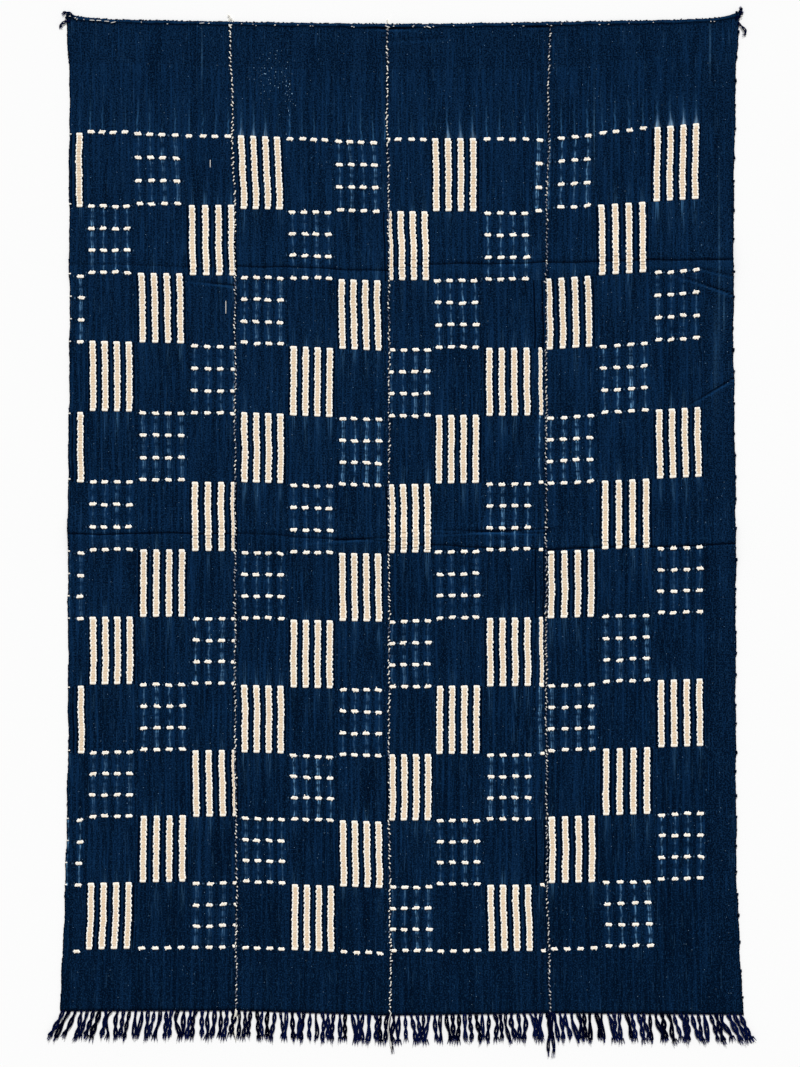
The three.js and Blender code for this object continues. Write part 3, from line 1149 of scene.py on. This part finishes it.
def block_floats(b):
    """The floats of one block's columns, from the top row to the bottom one."""
    for column, row in ((c, r) for r in range(ROWS) for c in b["columns"]):
        if SEWN_IN == {"block": b["block"], "row": row, "column": column}:
            continue
        where = column_place(b, column)
        kind = kind_of(b["block"], row)
        if kind == BARS:
            yield from bar(b, where, row)
        elif kind == DOTS:
            for line in dot_lines(row):
                yield from dot(b, where, line)
        elif row == 0:
            yield from dot(b, where, 0)
        elif row == ROWS - 1 and b["block"] <= LAST_FOOT_BLOCK:
            yield from dot(b, where, ROWS)


def seam_column_floats():
    """The odd column beside the third seam, partly caught in the sewing."""
    where = SEAM_COLUMN["start"]
    for row in SEAM_BARS:
        yield from bar(SEAM_COLUMN, where, row, CAUGHT_SHARE)
    for line in dot_lines(SEAM_DOTS):
        yield from dot(SEAM_COLUMN, where, line)
    for line in SEAM_LINES:
        yield from dot(SEAM_COLUMN, where, line, CAUGHT_SHARE)


weft = []
for panel in PANELS:
    floats = [f for b in on_panel(BLOCKS, panel) for f in block_floats(b)]
    if panel == SEAM_COLUMN["panel"]:
        floats += seam_column_floats()
    floats = [f for f in floats if f is not None]
    weft.append(copied(f"pattern_weft_{panel + 1}", float_shape, floats, cream))
print("pattern weft:", [(w.name, len(w.data.polygons)) for w in weft])

# %% [markdown]
# ## The rolled hem
# The cut top edge is rolled over twice between finger and thumb and caught down with stitches. It is
# one long tube: a grid whose rows go round and whose columns go along the edge, closed by merging the
# two sides where they meet. It swells and pinches a little, and gapes away from the cloth in two
# places. A curve with a bevel would roll as well, but the points of a grid can carry the same maps as
# the panels do, so the hem wears the panels' finish.

# %% Roll the hem
HEM_SIDES = 10
HEM_STEP = 5.0
HEM_DROP = 2.6
HEM_HALF_WIDE = 2.8
HEM_HALF_HIGH = 1.75
HEM_SWELLS = table("size period phase", (0.12, 6.1, 0), (0.1, 2.9, 1), (0.08, 17, 0))
HEM_WAVER = {"size": 0.5, "period": 9.3}
# The roll's painted highlight on top and painted shade on its far side
HEM_LIGHT_AND_SHADE = {"top": 0.5, "far_side": 0.45, "uneven": 0.5, "short": 4.3, "long": 13}
# A column and a row outside the pattern, so that none of it shows on the hem
HEM_PATTERN = (60.0, -5.0)
MERGE = 1e-6


def hem_line():
    """Points along the middle of the hem, from the left corner to the right one, in millimetres."""
    points = []
    for panel in PANELS:
        across = np.linspace(0, 1, int(PANEL_WIDTH[panel] / HEM_STEP))
        points.append(np.stack(place(panel, across, np.full_like(across, HEM_DROP)), axis=-1))
    return np.concatenate(points)


def hem_y(x):
    """The y of the middle of the hem."""
    line = hem_line()
    return np.interp(x, line[:, 0], line[:, 1])


def rolled_hem():
    line = hem_line()
    bm, column, row = grid_of(len(line) - 1, HEM_SIDES)
    angle = (1 - row / HEM_SIDES) * 2 * math.pi
    x, y = line[column].T
    swell = 1 + sum(s["size"] * np.sin(x / s["period"] + s["phase"]) for s in HEM_SWELLS)
    waver = HEM_WAVER["size"] * np.sin(x / HEM_WAVER["period"])
    y = y + HEM_HALF_WIDE * swell * np.cos(angle) + waver
    z = HEM_HALF_HIGH * (1 + swell * np.sin(angle)) + gape(x)
    mesh = moved_mesh(bm, "rolled_hem", in_frame(x, y, np.maximum(z, 0)))
    # Painted highlight along the top of the roll, uneven along the edge, and painted shade on its far side
    uneven = 1 + HEM_LIGHT_AND_SHADE["uneven"] * np.sin(x / HEM_LIGHT_AND_SHADE["short"]) * np.sin(x / HEM_LIGHT_AND_SHADE["long"])
    shade = HEM_LIGHT_AND_SHADE["far_side"] * np.maximum(np.cos(angle), 0)
    paint_uv(mesh, "cloth", np.stack([x * MM, angle * HEM_HALF_WIDE * MM], axis=-1))
    paint_uv(mesh, "pattern", np.tile(HEM_PATTERN, (len(x), 1)))
    paint_value(mesh, "soil", HEM_LIGHT_AND_SHADE["top"] * np.sin(angle) * uneven - shade)
    bm = bmesh.new()
    bm.from_mesh(mesh)
    bmesh.ops.remove_doubles(bm, verts=bm.verts, dist=MERGE)
    bmesh.ops.holes_fill(bm, edges=[e for e in bm.edges if e.is_boundary], sides=HEM_SIDES)
    bmesh.ops.recalc_face_normals(bm, faces=bm.faces)
    bm.to_mesh(mesh)
    bm.free()
    return shown(mesh, indigo)


hem = rolled_hem()
print("hem:", len(hem.data.polygons), "faces")

# %% [markdown]
# ## Seams, hem stitches and selvedges
# The panels are whipped together with cream thread that has picked up dye, so short slanting stitches
# climb each seam, some bright and some nearly blue. The hem has a few longer stitches. Along the two
# outer edges the weft turns back in small dark bumps, with knots on the right and tips of cream weft on
# the left. All of them are copies of the same blunt float, because at this size a stitch is a float of
# thinner thread.

# %% Sew the seams
STITCH = {"half": 2.0, "wide": 1.0, "high": 0.7}
STITCH_STEP = 5.6
STITCH_STEP_SHARES = (0.65, 1.45)
STITCH_SEAT = 0.4
STITCH_SLANT = 0.6
SLANT_RUN = 70
STITCH_SWAY = 0.7
STITCH_UNEVEN = {"slant": 0.3, "aside": 0.3, "half": 0.2}
SEAM_FIRST, SEAM_LAST = 5.0, LENGTH - 3
BLUE_TINT = (0.0, 0.35)
SEAM_BRIGHT = table(
    "drop share tint",
    ((0, 340, 430, 1634), (0.95, 0.85, 0.4, 0.5), (0.8, 1.0)),
    ((0, 300, 430, 900, 1634), (0.9, 0.7, 0.45, 0.75, 0.8), (0.85, 1.0)),
    ((0, 200, 430, 1634), (0.75, 0.6, 0.4, 0.6), (0.4, 0.9)),
)


def seam_stitches():
    stitches = []
    for seam, bright in enumerate(SEAM_BRIGHT, start=1):
        drop = SEAM_FIRST
        while drop < SEAM_LAST:
            side = 1 if len(stitches) % 2 else -1
            way = math.sin(drop / SLANT_RUN + seam)
            slant = math.copysign(STITCH_SLANT, way) + rng.normal(0, STITCH_UNEVEN["slant"])
            is_bright = rng.random() < np.interp(drop, bright["drop"], bright["share"])
            where = spot(seam, 0.0, drop, SHEET_THICK + STITCH_SEAT)
            where[0] += (side * STITCH_SWAY + rng.normal(0, STITCH_UNEVEN["aside"])) * MM
            half = STITCH["half"] * rng.normal(1, STITCH_UNEVEN["half"])
            size = (half, STITCH["wide"], STITCH["high"])
            tint = rng.uniform(*(bright["tint"] if is_bright else BLUE_TINT))
            stitches.append(copy_at(where, math.pi / 2 + slant, size, tint))
            drop += STITCH_STEP * rng.uniform(*STITCH_STEP_SHARES)
    return stitches


seams = copied("seam_stitches", float_shape, seam_stitches(), sewing)
print("seam stitches:", len(seams.data.polygons), "triangles")

# %% Stitch the hem
LONG_STITCHES = table(
    "x tint",
    (-511, 0.8), (-500, 0.85), (-487, 0.8), (-476, 0.75), (44, 0.9), (-330, 0.6), (-24, 0.9),
)
LONG_HALF = 4.2
SMALL_STEP = 31.0
SMALL_HALF = (0.8, 1.5)
SMALL_TINT = (0.3, 1.0)
HEM_STITCH = {"wide": 0.65, "high": 0.6, "below": (0.5, 3.5), "turn": 0.2}
SLUBS = table("x y half", (-312, 600, 6.5), (-289, 363, 11))
SLUB = {"panel": 0, "edge_drop": 400.0, "wide": 0.7, "high": 0.5, "tint": 0.7}
TIP = {"size": (2.0, 1.3, 0.8), "tint": (0.6, 1.0), "bar_ends": (0.03, 0.97)}


def hem_stitches():
    gaps = rng.exponential(SMALL_STEP, int(2 * HALF_WIDTH / SMALL_STEP))
    marks = [(stitch["x"], LONG_HALF, stitch["tint"]) for stitch in LONG_STITCHES]
    for x in hem_line()[0, 0] + np.cumsum(gaps):
        marks.append((x, rng.uniform(*SMALL_HALF), rng.uniform(*SMALL_TINT)))
    for x, half, tint in marks:
        y = hem_y(x) - rng.uniform(*HEM_STITCH["below"])
        where = in_frame(x, y, 2 * HEM_HALF_HIGH + gape(x))
        size = (half, HEM_STITCH["wide"], HEM_STITCH["high"])
        yield copy_at(where, rng.normal(0.0, HEM_STITCH["turn"]), size, tint)


def slubs():
    """Thick places in two warp threads of the first panel."""
    panel = SLUB["panel"]
    for slub in SLUBS:
        across = (slub["x"] - edge_line(EDGES[panel], SLUB["edge_drop"])) / PANEL_WIDTH[panel]
        where = spot(panel, across, drop_at(panel, across, slub["y"]), SHEET_THICK)
        yield copy_at(where, math.pi / 2, (slub["half"], SLUB["wide"], SLUB["high"]), SLUB["tint"])


def left_tips():
    """Small tips of cream weft where the first column's dots and bars reach the left edge."""
    thirds = [i / (BLOCK_COLUMNS - 1) for i in range(BLOCK_COLUMNS)]
    lines = [row + third for row in range(ROWS) if kind_of(0, row) == DOTS for third in thirds]
    lines += [row + end for row in range(ROWS) if kind_of(0, row) == BARS for end in TIP["bar_ends"]]
    for line in lines:
        where = spot(0, 0.0, drop_at(0, 0.0, line_y(0, 0.0, line)), SHEET_THICK)
        yield copy_at(where, 0.0, TIP["size"], rng.uniform(*TIP["tint"]))


small_stitches = [*hem_stitches(), *slubs(), *left_tips()]
edge_stitches = copied("hem_stitches", float_shape, small_stitches, sewing)
print("hem stitches, slubs and tips:", len(small_stitches))

# %% Turn the selvedges
TURN = {"half": 4.4, "wide": 0.9, "high": 0.9, "out": 0.5}
KNOT = {"half": 2.6, "wide": 2.0, "high": 1.4, "out": 1.0}
TURN_FIRST, TURN_LAST = 6.0, LENGTH - 2
TURN_STEP = (5.0, 7.0)
KNOT_FIRST = 20.0
KNOT_STEP = (28, 52)
EDGE_SEAT = 1.2
TURN_UNEVEN = {"size": 0.15, "turn": 0.1, "tint": 0.8}
BUMP = {"step": (3, 9), "out": (0.7, 1.15), "half": (1.2, 3), "thick": 0.9, "turn": 0.3, "last": 4}
LUMP = {"wide": 0.6, "high": 0.55, "z": 2.5, "turn": (0, 3), "tint": 0.3}
CORNER_LUMPS = table(
    "x y half",
    (-551, 846, 4.2), (-545, 844, 3.4), (-553, 840, 3.2),
    (552, 848, 3.6), (556, 850, 3.0), (557, 843, 2.6),
)


def selvedge(panel, across, outward):
    """Turns of the weft down an outer edge, with knots where outward is to the right."""
    drop, next_knot = TURN_FIRST, KNOT_FIRST
    while drop < TURN_LAST:
        knot = outward > 0 and drop > next_knot
        shape = KNOT if knot else TURN
        next_knot = drop + rng.uniform(*KNOT_STEP) if knot else next_knot
        where = spot(panel, across, drop, EDGE_SEAT * shape["high"])
        where[0] += outward * shape["out"] * MM
        size = np.array([shape[side] for side in ("half", "wide", "high")])
        size = size * rng.normal(1, TURN_UNEVEN["size"], 3)
        turn = math.pi / 2 + rng.normal(0, TURN_UNEVEN["turn"])
        yield copy_at(where, turn, size, rng.random() * TURN_UNEVEN["tint"])
        drop += rng.uniform(*TURN_STEP)


def hem_bumps():
    """Small dark bumps of thread along the rolled edge."""
    line = hem_line()
    x = line[0, 0]
    while x < line[-1, 0] - BUMP["last"]:
        x += rng.uniform(*BUMP["step"])
        y = hem_y(x) + HEM_HALF_WIDE * rng.uniform(*BUMP["out"])
        size = (rng.uniform(*BUMP["half"]), BUMP["thick"], BUMP["thick"])
        where = in_frame(x, y, HEM_HALF_HIGH + gape(x))
        yield copy_at(where, rng.normal(0, BUMP["turn"]), size, rng.random())


def corner_lumps():
    """Knotted thread in the two top corners."""
    for lump in CORNER_LUMPS:
        where = in_frame(lump["x"], lump["y"], LUMP["z"])
        size = (lump["half"], LUMP["wide"] * lump["half"], LUMP["high"] * lump["half"])
        yield copy_at(where, rng.uniform(*LUMP["turn"]), size, LUMP["tint"])


edge_turns = [*selvedge(0, 0.0, -1), *selvedge(PANELS[-1], 1.0, 1), *hem_bumps(), *corner_lumps()]
selvedges = copied("selvedge_turns", float_shape, edge_turns, edge_cotton)
print("turns, knots, bumps and lumps:", len(edge_turns))

# %% [markdown]
# ## Twisted fringe and loose ends
# The warp ends were twisted in pairs, then left to gather in tufts. One strand is made by turning two
# small rings about a line while they move along it, which Blender calls a spin with a step. Fine cones
# at the tip are its frayed ends. The strand is then bent along a path for each place in the fringe, and
# thinner copies make the thread ends at the seams and corners. Hair would be lighter to draw, but the
# export writes meshes.

# %% Twist one strand
PLY_SIDES = 6
PLY_STEPS = 26
PLY_TURNS = 0.85
PLY_RADIUS = 1.75
PLY_APART = 2.0
PLY_END = 0.87
HAIR = {"start": 0.81, "end": 1.0, "root": 1.15, "tip": 0.4, "sides": 4}
HAIR_SPLAY = 34
HAIRS = table("x z splay", (-2.6, 0.8, -0.4), (-0.9, -0.9, 0.25), (1.0, 0.9, -0.2), (2.7, -0.6, 0.4))


def twisted_strand():
    """A two-ply strand down the Y axis, from 0 at its root to 1 at its tip and in millimetres across."""
    bm = bmesh.new()
    for side in (-1, 1):
        ring = bmesh.ops.create_circle(bm, segments=PLY_SIDES, radius=PLY_RADIUS)["verts"]
        bmesh.ops.rotate(bm, verts=ring, matrix=Matrix.Rotation(math.pi / 2, 3, "X"))
        bmesh.ops.translate(bm, verts=ring, vec=(side * PLY_APART, 0, 0))
    rings = bm.verts[:] + bm.edges[:]
    step = (0, PLY_END / PLY_STEPS, 0)
    angle = 2 * math.pi * PLY_TURNS
    bmesh.ops.spin(bm, geom=rings, axis=(0, 1, 0), dvec=step, angle=angle, steps=PLY_STEPS)
    bmesh.ops.holes_fill(bm, edges=[e for e in bm.edges if e.is_boundary], sides=PLY_SIDES)
    cone = {"segments": HAIR["sides"], "radius1": HAIR["root"], "radius2": HAIR["tip"]}
    for hair in HAIRS:
        made = bmesh.ops.create_cone(bm, cap_ends=True, depth=HAIR["end"] - HAIR["start"], **cone)["verts"]
        bmesh.ops.rotate(bm, verts=made, matrix=Matrix.Rotation(-math.pi / 2, 3, "X"))
        middle = (HAIR["start"] + HAIR["end"]) / 2
        bmesh.ops.translate(bm, verts=made, vec=(hair["x"], middle, hair["z"]))
        for vert in made:
            vert.co.x += hair["splay"] * HAIR_SPLAY * max(vert.co.y - PLY_END, 0)
    bmesh.ops.recalc_face_normals(bm, faces=bm.faces)
    return template_of(bm)


strand_shape = twisted_strand()
print("one strand:", len(strand_shape[1]), "triangles")

# %% Bend copies of the strand
ROOT_REACH = 0.16
STRAND_FLAT = 0.42
PATH_LOOK = 0.04
STRAND_UV = (4.0, 0.25)


def bent_strand(points, strand):
    """The points of a strand bent along its path, on the floor or above it."""
    share = points[:, 1]
    path = np.asarray(strand["path"], float)
    steps = np.linalg.norm(np.diff(path, axis=0), axis=1)
    length = np.concatenate([[0], np.cumsum(steps)]) / steps.sum()

    def along(shares):
        return np.stack([np.interp(shares, length, path[:, i]) for i in range(3)], axis=-1)

    way = (along(share + PATH_LOOK) - along(share - PATH_LOOK))[:, :2]
    way = way / np.linalg.norm(way, axis=1, keepdims=True)
    roll = strand["roll"] + 2 * math.pi * strand["twist"] * share
    aside = points[:, 0] * np.cos(roll) - points[:, 2] * np.sin(roll)
    upward = points[:, 0] * np.sin(roll) + points[:, 2] * np.cos(roll)
    wide = strand["thick"] * (1 - strand["pinch"] * np.exp(-share / ROOT_REACH)) * MM
    bent = along(share)
    bent[:, 0] += way[:, 1] * aside * wide
    bent[:, 1] -= way[:, 0] * aside * wide
    bent[:, 2] += upward * strand["thick"] * STRAND_FLAT * MM
    bent[:, 2] = np.maximum(bent[:, 2], 0)
    return bent


def bent_copies(name, strands, finish):
    """Copies the strand along paths: points in metres, thickness, roll, more or less twist, pinch, tint."""
    points = strand_shape[0]
    moved = [bent_strand(points, strand) for strand in strands]
    tints = [strand["tint"] for strand in strands]
    return joined(name, strand_shape, moved, points[:, [1, 0]] * STRAND_UV, tints, finish)


print("points in one strand:", len(strand_shape[0]))

# %% Hang the fringe
HEADER = 3.0
STRAND_PITCH = 9.7
STRAND_LENGTH = 44.0
STRAND_UNEVEN = 3.0
STRAND_WAVE = 2.4
STRAND_OVERLAP = 1.0
STRAND_HEIGHT = 2.2
STRAND_THICK = (1.14, 0.1)
ROOT_PINCH = 0.32
TWIST_UNEVEN = 0.5
TIP_UNEVEN = 0.8
PATH_POINTS = 9
BOW, DOUBLE_BOW = 1.8, 1.1
TUFTS = (2, 1, 4, 2, 3, 2, 3, 2, 4, 3)
TUFT_TIP_SHARE = 0.62
LEANS = {"x": (-564, -480, -200, 100, 300, 500, 562), "lean": (-29, -8, -1, 2, 8, 11, 29)}


def tufts_of(roots):
    """The roots of each tuft in turn, numbered along the fringe."""
    first, tuft = 0, 0
    while first < len(roots):
        size = TUFTS[tuft % len(TUFTS)]
        yield list(enumerate(roots))[first:first + size]
        first += size
        tuft += 1


def fringe_strands(panel):
    left, right = (np.array(place(panel, across, LENGTH)) for across in (0.0, 1.0))
    count = int((right[0] - left[0]) / STRAND_PITCH)
    roots = left[0] + (right[0] - left[0]) * (np.arange(count) + 0.5) / count
    down = np.linspace(0, 1, PATH_POINTS)
    for tuft in tufts_of(roots):
        middle = (tuft[0][1] + tuft[-1][1]) / 2
        for i, root in tuft:
            lean = np.interp(root, LEANS["x"], LEANS["lean"])
            tip = middle + (root - middle) * TUFT_TIP_SHARE + lean + rng.normal(0, TIP_UNEVEN)
            length = STRAND_LENGTH + STRAND_UNEVEN * math.sin(i * STRAND_WAVE) + HEADER
            top = np.interp(root, (left[0], right[0]), (left[1], right[1])) + STRAND_OVERLAP
            bow = rng.normal(0, BOW) * np.sin(down * math.pi)
            bow = bow + rng.normal(0, DOUBLE_BOW) * np.sin(down * 2 * math.pi)
            x = root + (tip - root) * down + bow
            y = top - down * (length + STRAND_OVERLAP)
            yield {
                "path": in_frame(x, y, np.full_like(down, STRAND_HEIGHT)),
                "thick": rng.normal(*STRAND_THICK),
                "roll": rng.uniform(0, math.pi),
                "twist": rng.uniform(-TWIST_UNEVEN, TWIST_UNEVEN),
                "pinch": ROOT_PINCH,
                "tint": rng.random(),
            }


fringes = []
for panel in PANELS:
    fringes.append(bent_copies(f"twisted_fringe_{panel + 1}", list(fringe_strands(panel)), twisted))
print("fringe:", [(f.name, len(f.data.polygons)) for f in fringes])

# %% Leave the loose thread ends
DARK_ENDS = table(
    "thick points",
    (0.75, ((-541, 842), (-548, 848), (-556, 850), (-561, 846))),
    (0.7, ((-547, 836), (-556, 834), (-564, 829), (-562, 823))),
    (0.75, ((550, 838), (556, 846), (560, 856), (557, 859))),
    (0.6, ((552, 840), (559, 846), (563, 851))),
    (0.7, ((554, 832), (561, 826), (567, 819), (566, 813), (561, 813))),
    (0.8, ((242, -798), (243, -830), (241, -855), (242, -873))),
    (0.8, ((246, -799), (248, -834), (251, -858), (249, -875))),
    (0.55, ((-20, -802), (-21, -825), (-17, -848), (-15, -868))),
)
PALE_ENDS = table(
    "thick points",
    (0.4, ((-284, 826), (-287, 834), (-283, 842), (-288, 846))),
    (0.4, ((-282, 828), (-279, 836), (-283, 840))),
    (0.4, ((-24, 822), (-22, 832), (-25, 838))),
    (0.4, ((-274, -794), (-277, -815), (-274, -848))),
    (0.35, ((-273, -796), (-270, -820), (-272, -838))),
    (0.4, ((-18, -800), (-23, -822), (-19, -850), (-16, -866))),
)
STEPS_PER_POINT = 4
END_HEIGHTS = (2.6, 1.6)
DARK_TINT = (0.2, 0.7)
PALE_TINT = (0.75, 1.0)


def loose_ends(ends, tint):
    for end in ends:
        corners = np.array(end["points"], float)
        share = np.linspace(0, len(corners) - 1, STEPS_PER_POINT * len(corners))
        path = np.stack([np.interp(share, range(len(corners)), corners[:, i]) for i in range(2)], axis=-1)
        path[1:-1] = (path[:-2] + 2 * path[1:-1] + path[2:]) / 4
        yield {
            "path": in_frame(*path.T, np.linspace(*END_HEIGHTS, len(path))),
            "thick": end["thick"],
            "roll": rng.uniform(0, math.pi),
            "twist": 0.0,
            "pinch": 0.0,
            "tint": rng.uniform(*tint),
        }


dark_ends = bent_copies("dark_thread_ends", list(loose_ends(DARK_ENDS, DARK_TINT)), twisted)
pale_ends = bent_copies("pale_thread_ends", list(loose_ends(PALE_ENDS, PALE_TINT)), sewing)
print("loose ends:", len(DARK_ENDS) + len(PALE_ENDS))

# %% [markdown]
# ## Attach the pieces
# Every piece rides on the one body. The panels and the fringe stand for their solids, which are hidden.
# The two boxes are kept, so that the looks can be compared with the frame.

for panel in PANELS:
    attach(sheets[panel], "root")
    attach(weft[panel], "root")
    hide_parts(f"panel_{panel + 1}")
    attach(fringes[panel], "root")
    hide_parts(f"fringe_{panel + 1}")

SEWN_ON = {
    "indigo_cotton": (hem, selvedges),
    "cream_cotton": (seams, edge_stitches, pale_ends),
    "twisted_cotton": (dark_ends,),
}
for slot, pieces in SEWN_ON.items():
    for piece in pieces:
        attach(piece, "root")
